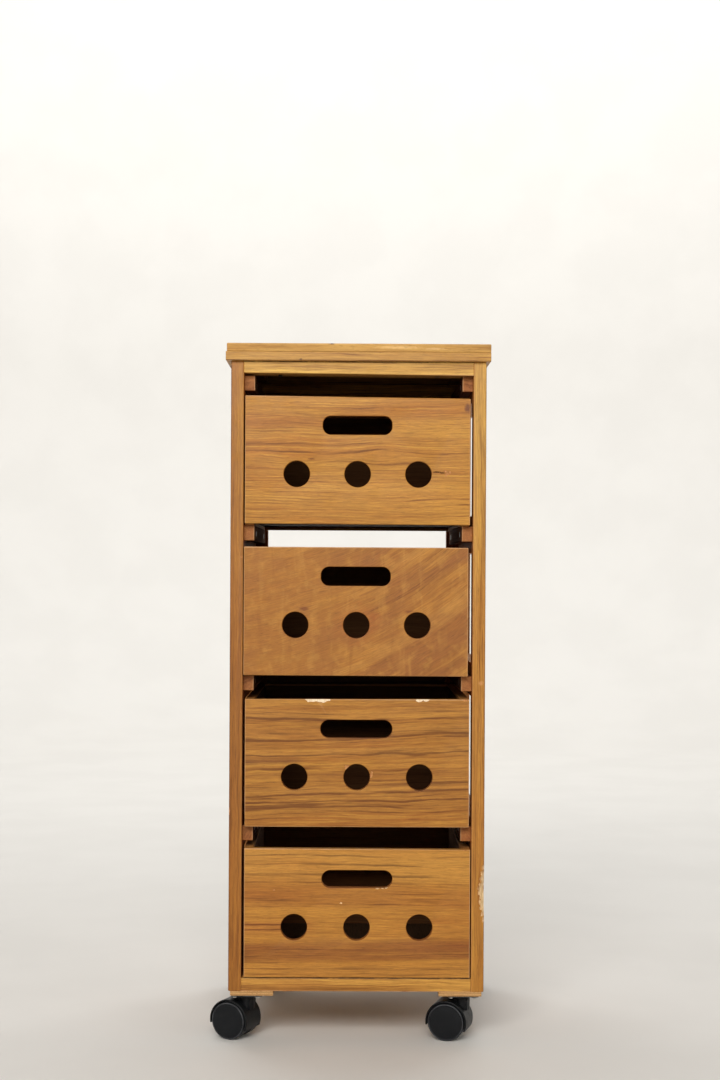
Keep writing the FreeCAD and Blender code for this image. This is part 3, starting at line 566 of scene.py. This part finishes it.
# drawer 2's growth lines, measured across its slanting grain
D2_LINES = [(h, k, 0.0009, w / 1000, a, b, 0.0, wave / 1000) for h, k, w, a, b, wave in (
    (0.5388, 0.9, 1.6, 0.136, 0.235, 1), (0.5352, 0.4, 3, 0.16, 0.30, 1), (0.5300, 0.3, 2, 0.12, 0.22, 1),
    (0.4790, 0.5, 3.5, 0.125, 0.30, 2.5), (0.4700, 0.35, 2, 0.20, 0.30, 1.5), (0.4577, 0.6, 3, 0.18, 0.30, 1.5),
    (0.4500, 0.45, 2.5, 0.17, 0.30, 1.5), (0.4420, 0.45, 2.5, 0.18, 0.30, 1.5),
    (0.4340, 0.4, 2.5, 0.17, 0.30, 1.5), (0.5600, 0.35, 3, 0.15, 0.30, 1), (0.6440, 0.35, 3, -0.03, 0.08, 2))]
FRONTS = {
    1: front(1, hue=(173, 119, 46), seed=41.2, centre=(1.62, -0.30), rings=300, wander=0.0052,
             line=0.38, streak=0.40, fine=0.95, fibre=0.8, blotch=0.60, zones=1.0,
             strokes=at(1, (159, 0.35, 0.7, 2.5), (148, 0.3, 0.6, 2, -0.02, 0.15), (137, 0.45, 0.7, 2, -0.15, 0.04),
                        (130, 0.4, 0.6, 2), (118, 0.35, 0.6, 2, 0.04, 0.15, -0.01),
                        (108, 0.45, 0.7, 2, -0.15, 0.02), (98, 0.6, 0.8, 2.5, -0.15, 0.15, -0.008, 1.5),
                        (86, 0.35, 0.7, 2, -0.05, 0.15, -0.02), (46, 0.4, 0.7, 2.5, -0.15, 0.02, 0.0, 2.0),
                        (36, 0.7, 0.7, 2.5, 0.05, 0.15, 0.015, 2.0), (28, 0.6, 0.7, 2.2, 0.03, 0.15, 0.01, 2.0),
                        (22, 0.35, 0.7, 2.5, -0.15, 0.04), (14, 0.55, 0.7, 2.5, 0.02, 0.15, 0.0, 1.5)),
             knots=[(0.030, 0.778, 0.016, 0.55, 0.0), (-0.085, 0.781, 0.018, 0.25, 0.0)],
             spots=[(0.1445, -0.168, 0.8425, 0.0042, 0.01, 0.0060, 0.75, (84, 40, 34)),
                    (-0.0625, -0.168, 0.7745, 0.0050, 0.01, 0.0016, 0.7, (98, 48, 22))]),
    2: front(2, hue=(157, 102, 39), seed=47.9, centre=(0.40, -0.32), turn=math.radians(12),
             bow=-0.9, rings=60, wander=0.006, line=0.25, streak=1.0, fine=1.0, figure=0.95,
             blotch=0.4, zones=0.3, fibre=0.8, strokes=D2_LINES,
             bands=[(0.400, 0.478, 0.004, 0.40, (134, 78, 40), 0.0, 0.125, 0.30)],
             spots=[(-0.0710, -0.168, 0.5760, 0.007, 0.01, 0.0028, 0.65, (110, 54, 24)),
                    (0.0206, -0.168, 0.5665, 0.008, 0.01, 0.0060, 0.45, (140, 72, 30)),
                    (0.0000, -0.168, 0.5560, 0.030, 0.01, 0.0260, 0.30, (170, 92, 34)),
                    (0.0680, -0.168, 0.5725, 0.006, 0.01, 0.0022, 0.6, (112, 56, 26))]),
    3: front(3, hue=(160, 106, 40), seed=52.6, centre=(1.30, -0.26), rings=90, wander=0.0046,
             line=0.35, streak=0.85, fine=1.2, tilt=0.022, blotch=0.45, zones=1.0, fibre=0.8,
             bands=[(0.3715, 0.3805, 0.0030, 0.55, (112, 66, 30), 0.010, -0.15, -0.075),
                    (0.3555, 0.3600, 0.0030, 0.30, (112, 66, 30), 0.020, -0.15, 0.15),
                    (0.3820, 0.3930, 0.0030, 0.35, (190, 134, 60), 0.012, -0.15, 0.15),
                    (0.4080, 0.4200, 0.0040, 0.30, (190, 134, 60), 0.03, -0.15, 0.15),
                    (0.4320, 0.4440, 0.0040, 0.30, (190, 134, 60), 0.01, -0.15, 0.15),
                    (0.3330, 0.3420, 0.0030, 0.30, (184, 128, 56), 0.02, -0.15, 0.15)],
             strokes=at(3, (153, 0.35, 0.7, 3, -0.15, 0.15, 0.01, 2), (144, 0.9, 0.8, 4, -0.15, 0.15, 0.008, 2),
                        (138, 0.35, 0.6, 2, -0.15, 0.0, 0.01, 2),
                        (120, 0.85, 0.9, 5, -0.15, 0.15, 0.036, 2.5), (115, 0.4, 0.6, 2.5, -0.05, 0.15, 0.04, 2),
                        (97, 1.0, 0.9, 4, -0.15, 0.15, 0.012, 3.5), (101, 0.5, 0.6, 2.5, -0.04, 0.06, 0.01, 3),
                        (77, 1.2, 1.1, 8, -0.15, -0.04, 0.012, 2.5), (75, 0.75, 0.9, 4, -0.03, 0.15, 0.020, 2.5),
                        (70, 0.4, 0.6, 2, 0.02, 0.15, 0.02, 2), (61, 0.5, 0.8, 3, -0.15, 0.15, 0.02, 2),
                        (55, 0.5, 0.7, 3, -0.08, 0.15, 0.03, 2), (44, 0.95, 0.9, 4, -0.15, 0.15, 0.032, 2.5),
                        (39, 0.4, 0.6, 2, -0.06, 0.12, 0.03, 2.5), (33, 0.85, 0.8, 3.5, -0.15, 0.15, 0.020, 2.5),
                        (25, 0.6, 0.7, 3, -0.15, 0.06, 0.02, 2), (18, 0.45, 0.7, 3, -0.05, 0.15, 0.02, 2),
                        (9, 0.35, 0.7, 3, -0.15, 0.15, 0.01, 2))),
    4: front(4, hue=(171, 114, 43), seed=58.1, centre=(1.10, -0.30), rings=150, wander=0.0030,
             line=0.20, streak=0.42, fine=0.80, blotch=0.45, zones=0.9, fibre=0.8,
             strokes=at(4, (160, 0.45, 0.7, 4), (148, 0.6, 0.8, 4), (134, 0.6, 0.9, 4, -0.15, 0.10),
                        (124, 0.35, 0.8, 3), (110, 0.5, 0.5, 1.6, 0.03, 0.15, 0.01), (103, 0.4, 0.5, 1.6, 0.03, 0.15, 0.01),
                        (96, 0.5, 0.5, 1.6, 0.02, 0.15, 0.01), (88, 0.4, 0.5, 1.6, 0.03, 0.15, 0.01),
                        (70, 0.95, 0.7, 2.2, -0.15, -0.065), (63.5, 0.85, 0.7, 2.2, -0.15, -0.065),
                        (50, 0.4, 0.6, 2, -0.15, 0.15, 0.012), (38, 0.5, 0.6, 2, -0.15, 0.15, 0.014),
                        (30, 0.45, 0.6, 2, -0.15, 0.15, 0.014), (12, 0.4, 0.7, 3), (5, 0.4, 0.7, 3)),
             bands=[(0.1100, 0.1340, 0.0035, 0.72, (128, 70, 28), 0.014, -0.15, 0.15),
                    (0.213, 0.255, 0.008, 0.55, (196, 142, 62), 0.0, -0.15, 0.15),
                    (0.178, 0.205, 0.008, 0.35, (160, 96, 38), 0.0, -0.15, 0.15),
                    (0.146, 0.160, 0.004, 0.40, (150, 80, 36), 0.0, -0.15, -0.06),
                    (0.080, 0.1040, 0.006, 0.40, (188, 130, 56), 0.0, -0.15, 0.15)]),
}
DRAWER_SHADE = {1: 0.26, 2: 0.26, 3: 0.28, 4: 0.50}      # how dark the painted shade is inside each drawer
# drawer sides and backs are darkened and tinted as painted shade inside the drawers
SIDES = {i: wood("drawer_%d_side_wood" % i, "Y", (162, 108, 54), seed=61.0 + i * 3.3,
                 centre=(0.3, 0.2 * i), rings=150, coat=0.0, rough=0.65, inside=[hollow(i)],
                 deep=DRAWER_SHADE[i], shade_tint=(1.0, 0.96, 1.3))
         for i in range(1, 5)}
BACKS = {i: wood("drawer_%d_back_wood" % i, "X", (160, 106, 52), seed=81.0 + i * 2.9,
                 centre=(0.2 * i, 0.3), rings=150, coat=0.0, rough=0.65, inside=[hollow(i)],
                 deep=DRAWER_SHADE[i], shade_tint=(1.0, 0.96, 1.3))
         for i in range(1, 5)}
# the drawer floors' plywood is given a dark colour as painted shade inside the drawers
FLOOR_PLY = plywood("drawer_floor_plywood", rgb(96, 70, 48), rgb(60, 42, 28), 0.0, 0.0013)
PAD_PLY = plywood("caster_pad_plywood", rgb(206, 160, 104), rgb(156, 110, 62), 0.062, 0.0015)
TORN = torn("torn_wood", rgb(238, 208, 160), rgb(196, 146, 92))
CRACK = torn("crack_in_wood", rgb(96, 58, 30), rgb(40, 22, 12))
DOWEL = wood("dowel_wood", "Y", (160, 108, 56), seed=91.0, rings=400, coat=0.0, rough=0.6)
STEEL = steel("zinc_plated_steel")
# steel darkened as painted shade: the caster plates, kingpins and top screws sit in the shade under the cabinet, so
# they get a dark colour in place of bright zinc
STEEL_DARKENED_AS_SHADE = steel("steel_darkened_as_shade", 3.0, (0.10, 0.10, 0.10), (0.05, 0.05, 0.05))
HOODS = plastic("caster_hood_plastic", (0.0044, 0.0050, 0.0062), 0.40, 1.0)

for name, mat in {
    "top_panel": TOP_UP, "top_edging": TOP_LOW, "top_rails": RAIL, "rear_cross_rails": CROSS,
    "bottom_panel": BASE, "post_front_left": POST_L, "post_front_right": POST_R,
    "post_rear_left": POST_BACK, "post_rear_right": POST_BACK, "side_rails_left": SIDE_L,
    "side_rails_right": SIDE_R, "runners_left": RUNNER, "runners_right": RUNNER,
    "rear_stops": STOP, "runner_screws": STEEL, "top_screws": STEEL_DARKENED_AS_SHADE, "caster_pads": PAD_PLY,
    "caster_plates": STEEL_DARKENED_AS_SHADE, "caster_kingpins": STEEL_DARKENED_AS_SHADE, "caster_plate_screws": STEEL,
}.items():
    paint(name, mat)
for i in range(1, 5):
    d = "drawer_%d_" % i
    paint(d + "front", FRONTS[i])
    paint(d + "back", BACKS[i])
    paint(d + "left_side", SIDES[i])
    paint(d + "right_side", SIDES[i])
    paint(d + "bottom", FLOOR_PLY)
    paint(d + "dowels", DOWEL)


def wheel_plastic(name, node):
    """A wheel's plastic, paler round the edge of its outer face: a ring of scuffs that is also a painted highlight
    on the rim.
    """
    lo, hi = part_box(node)
    c = [(a + b) / 2 for a, b in zip(lo, hi)]
    joint = next(j for j in frame["record"]["behaviour"]["joints"] if j["child"] == BODY_OF[node])
    axis = Vector(joint["axis"]).normalized()
    t = Tree(name)
    seed = sum(ord(k) for k in node) * 0.01
    p = t.vadd(t.pos, (seed, seed * 0.3, 0))
    g = t.noise(p, 2600.0, 2.0, 0.6)
    s = t.noise(p, 75.0, 5.0, 0.7)
    q = t.vadd(t.pos, tuple(-k for k in c))
    along = t.add("ShaderNodeVectorMath", {0: q, 1: tuple(axis)}, operation="DOT_PRODUCT").outputs["Value"]
    x, y, z = t.xyz(q)
    off = t.vec(t.mad(along, -axis.x, x), t.mad(along, -axis.y, y), t.mad(along, -axis.z, z))
    r = t.add("ShaderNodeVectorMath", {0: off}, operation="LENGTH").outputs["Value"]
    # a pale ring at the rim: scuffs, and a painted highlight where the rim catches the light
    rim_scuff_and_highlight = t.mul(t.ramp(t.math("ABSOLUTE", t.sub(r, 0.0234)), 0.0011, 0.0003),
                t.ramp(s, 0.35, 0.62, 0.25, 1.0))
    rim_scuff_and_highlight = t.mul(rim_scuff_and_highlight, t.ramp(t.math("ABSOLUTE", along), 0.0064, 0.0069))
    col = t.mix(t.mul(t.ramp(s, 0.50, 0.78), 0.15), (0.0050, 0.0060, 0.0078), (0.036, 0.036, 0.038))
    col = t.mix(t.mul(rim_scuff_and_highlight, 0.8), col, (0.085, 0.088, 0.095))
    rough = t.sum(t.mad(g, 0.12, 0.34), t.mul(t.ramp(s, 0.4, 0.75), 0.16))
    t.bump(g, 0.25, 0.00008)
    return t.set(Base_Color=col, Roughness=rough, Specular_IOR_Level=0.22)


for c in ("front_left", "front_right", "rear_left", "rear_right"):
    paint("caster_%s_hood" % c, HOODS)
    paint("caster_%s_axle" % c, STEEL)
    for w in ("wheel_a", "wheel_b"):
        n = "caster_%s_%s" % (c, w)
        paint(n, wheel_plastic(n + "_plastic", n))


# ------------------------------------------------------------- chips and wear
def worn(node, mat, chips):
    ob = from_node(node, node + "_worn")
    break_out(ob, mat, chips)
    stands_for(ob, node)
    return ob


def chip(x, y, z, sx, sy, sz, seed, mat=None, rough=0.45, cells=2.2, spin=(0, 0, 0)):
    return blob((x, y, z), (sx, sy, sz), seed, rough, cells, 3, spin), mat or TORN


YF = DRAWER[3][0][1]                # front plane of the drawers
T3 = DRAWER[3][1][2]
PALE_TORN = torn("pale_torn_wood", rgb(246, 228, 200), rgb(226, 196, 158))
WORN_RIM = torn("worn_rim", rgb(206, 150, 96), rgb(158, 100, 54))
worn("drawer_3_front", FRONTS[3], [
    chip(-0.0600, YF, T3 + 0.0004, 0.0095, 0.0019, 0.0046, 1.3, PALE_TORN, 0.3),
    chip(-0.0455, YF, T3 + 0.0004, 0.0092, 0.0020, 0.0052, 2.6, PALE_TORN, 0.3),
    chip(-0.0530, YF, T3 + 0.0004, 0.0085, 0.0018, 0.0042, 3.9, PALE_TORN, 0.3),
    chip(0.0835, YF, T3 + 0.0003, 0.0062, 0.0016, 0.0036, 4.4, PALE_TORN, 0.3),
    chip(0.0915, YF, T3 + 0.0003, 0.0050, 0.0015, 0.0032, 5.2, PALE_TORN, 0.3),
    chip(-0.0134, YF, 0.3662, 0.0036, 0.0013, 0.0026, 6.1, WORN_RIM, spin=(0, -0.8, 0)),
    chip(0.0186, YF, 0.3550, 0.0020, 0.0012, 0.0034, 7.7, WORN_RIM),
    chip(0.0200, YF, 0.3590, 0.0013, 0.0008, 0.0016, 7.1, WORN_RIM),
    chip(0.1435, YF, T3 - 0.001, 0.0035, 0.0010, 0.0016, 8.3, WORN_RIM)])
worn("drawer_4_front", FRONTS[4], [
    chip(0.0280, YF, 0.2056, 0.0030, 0.0012, 0.0013, 9.1, TORN),
    chip(0.0345, YF, 0.2058, 0.0022, 0.0011, 0.0014, 9.5, TORN),
    chip(0.0392, YF, 0.2064, 0.0022, 0.0011, 0.0014, 9.9, TORN),
    chip(-0.1092, YF, 0.2024, 0.0013, 0.0006, 0.0010, 10.4, WORN_RIM),
    chip(-0.0202, YF, 0.1855, 0.0015, 0.0006, 0.0012, 11.2, TORN),
    chip(0.1440, YF, DRAWER[4][1][2] - 0.0008, 0.0030, 0.0010, 0.0016, 12.8, WORN_RIM)])
worn("drawer_1_front", FRONTS[1], [
    chip(0.1035, YF, 0.7578, 0.0056, 0.0011, 0.00085, 13.3, CRACK, 0.3),
    chip(0.1110, YF, 0.7566, 0.0036, 0.0010, 0.00075, 13.9, CRACK, 0.3),
    chip(0.1150, YF, 0.7590, 0.0022, 0.0007, 0.0013, 14.4, WORN_RIM),
    chip(0.1178, YF, 0.7552, 0.0026, 0.0008, 0.0014, 14.9, WORN_RIM),
    chip(0.1215, YF, 0.7572, 0.0018, 0.0007, 0.0013, 15.3, WORN_RIM),
    chip(0.1160, YF, 0.7530, 0.0016, 0.0006, 0.0010, 15.9, WORN_RIM)])
worn("post_front_left", POST_L, [
    chip(-0.1537, -YO, 0.4384, 0.0012, 0.0010, 0.0028, 16.1, WORN_RIM),
    chip(-0.1545, -YO, 0.6442, 0.0012, 0.0008, 0.0020, 16.7, WORN_RIM),
    chip(-0.1582, -YO, 0.8241, 0.0009, 0.0006, 0.0012, 17.2, WORN_RIM),
    chip(-0.1694, -YO, 0.3060, 0.0012, 0.0014, 0.0060, 17.9, WORN_RIM),
    chip(-0.1696, -YO, 0.7010, 0.0010, 0.0014, 0.0040, 18.3, WORN_RIM)])
worn("bottom_panel", BASE, [
    chip(-0.0920, -YO, 0.0682, 0.0050, 0.0012, 0.0014, 19.1, WORN_RIM),
    chip(-0.0850, -YO, 0.0680, 0.0040, 0.0012, 0.0012, 19.8, WORN_RIM),
    chip(0.0650, -YO, 0.0681, 0.0060, 0.0010, 0.0010, 20.4, WORN_RIM)])
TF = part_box("top_edging")[0][1]
worn("top_panel", TOP_UP, [
    chip(-0.0360, TF, 0.9270, 0.0022, 0.0014, 0.0010, 22.2, CRACK)])

# the flake off the right front post: its slanting faces are bare torn wood, and
# its edge is ragged
ragged = [(0.0026, 0.1715, 0.0016, 0.0030), (0.0044, 0.1800, 0.0016, 0.0026),
          (0.0056, 0.1880, 0.0014, 0.0034), (0.0052, 0.1935, 0.0014, 0.0020),
          (0.0070, 0.2000, 0.0016, 0.0030), (0.0080, 0.2060, 0.0013, 0.0026),
          (0.0058, 0.2110, 0.0014, 0.0022), (0.0044, 0.2180, 0.0016, 0.0032),
          (0.0030, 0.2255, 0.0015, 0.0034), (0.0016, 0.2330, 0.0012, 0.0044),
          (0.0012, 0.1640, 0.0012, 0.0040)]
flaked = from_node("post_front_right", "post_front_right_worn")
flaked.data.materials.append(POST_R)
flaked.data.materials.append(TORN)
for p in flaked.data.polygons:
    n, c = p.normal, p.center
    if (0.1655 < c.z < 0.2320 and c.x > XO - 0.0090 and c.y < -YO + 0.0100
            and max(abs(n.x), abs(n.y), abs(n.z)) < 0.985):
        p.material_index = 1
break_out(flaked, POST_R, [chip(XO - d, -YO + 0.0006, z, a, 0.0018, b, 23.0 + 0.7 * i, rough=0.6)
                           for i, (d, z, a, b) in enumerate(ragged)]
          + [chip(0.1640, -YO, 0.4780, 0.0020, 0.0004, 0.0012, 31.3, WORN_RIM)])
stands_for(flaked, "post_front_right")


# ---------------------------------------------------------------- the studio
def studio():
    """A pale floor that sweeps up into a round wall, open above."""
    prof = [(0.0, 0.0), (2.9, 0.0)]
    r0, bend = 3.6, 1.5
    for k in range(13):
        a = math.radians(90 * k / 12)
        prof.append((r0 + bend * math.sin(a), bend - bend * math.cos(a)))
    prof.append((r0 + bend, 5.2))
    bm = bmesh.new()
    rows = []
    seg = 96
    for r, z in prof[1:]:
        rows.append([bm.verts.new((r * math.cos(2 * math.pi * k / seg),
                                   r * math.sin(2 * math.pi * k / seg), z)) for k in range(seg)])
    mid = bm.verts.new((0, 0, 0))
    for k in range(seg):
        bm.faces.new((mid, rows[0][k], rows[0][(k + 1) % seg]))
    for a, b in zip(rows, rows[1:]):
        for k in range(seg):
            bm.faces.new((a[k], b[k], b[(k + 1) % seg], a[(k + 1) % seg]))
    for f in bm.faces:
        f.smooth = True
    bmesh.ops.recalc_face_normals(bm, faces=bm.faces)
    me = bpy.data.meshes.new("studio_floor")
    bm.to_mesh(me)
    bm.free()
    ob = bpy.data.objects.new("studio_floor", me)
    bpy.context.scene.collection.objects.link(ob)
    t = Tree("studio_floor")
    g = t.noise(t.pos, 4.0, 3.0, 0.5)
    col = t.mix(t.ramp(g, 0.35, 0.65), (0.74, 0.725, 0.695), (0.72, 0.705, 0.675))
    me.materials.append(t.set(Base_Color=col, Roughness=0.85, Specular_IOR_Level=0.2))


def area(name, at, look, size, power, colour=(1, 1, 1)):
    data = bpy.data.lights.new(name, "AREA")
    data.shape, data.size, data.size_y = "RECTANGLE", size[0], size[1]
    data.energy, data.color = power, colour
    ob = bpy.data.objects.new(name, data)
    ob.location = at
    ob.rotation_euler = (Vector(look) - Vector(at)).to_track_quat("-Z", "Y").to_euler()
    bpy.context.scene.collection.objects.link(ob)


studio()
area("key", (-0.5, -3.3, 2.15), (0.0, 0.0, 0.52), (2.2, 1.3), 104.0, (1.0, 0.975, 0.94))
area("fill", (2.5, -2.4, 1.7), (0.0, 0.0, 0.6), (1.6, 2.0), 8.0, (0.98, 0.985, 1.0))
area("wall_wash", (0.0, 1.7, 4.6), (0.0, 4.9, 1.2), (4.0, 0.8), 195.0)

world = bpy.data.worlds.new("soft_studio")
world.use_nodes = True
bg = world.node_tree.nodes["Background"]
bg.inputs[0].default_value = (1.0, 0.985, 0.96, 1.0)
bg.inputs[1].default_value = 0.11
bpy.context.scene.world = world
bpy.context.scene.view_settings.view_transform = "Standard"

# -------------------------------------------------------------------- camera
cam = bpy.data.cameras.new("camera")
cam.sensor_width = 36.0
cam.lens = 58.63
cam.shift_y = 28.0 / 1080.0
cam.clip_end = 60.0
cam_ob = bpy.data.objects.new("camera", cam)
bpy.context.scene.collection.objects.link(cam_ob)
cam_ob.location = (-0.0108, -0.168 - 2.333, 0.630)
turn = math.radians(0.33)      # the optical axis points this far to the right of +Y
roll = math.radians(0.30)      # and the picture is turned this far clockwise
cam_ob.rotation_mode = "QUATERNION"
q = Matrix.Rotation(-turn, 4, "Z") @ Matrix.Rotation(-roll, 4, "Y") \
    @ Matrix.Rotation(math.radians(90), 4, "X")
cam_ob.rotation_quaternion = q.to_quaternion()
bpy.context.scene.camera = cam_ob

bpy.context.view_layer.update()
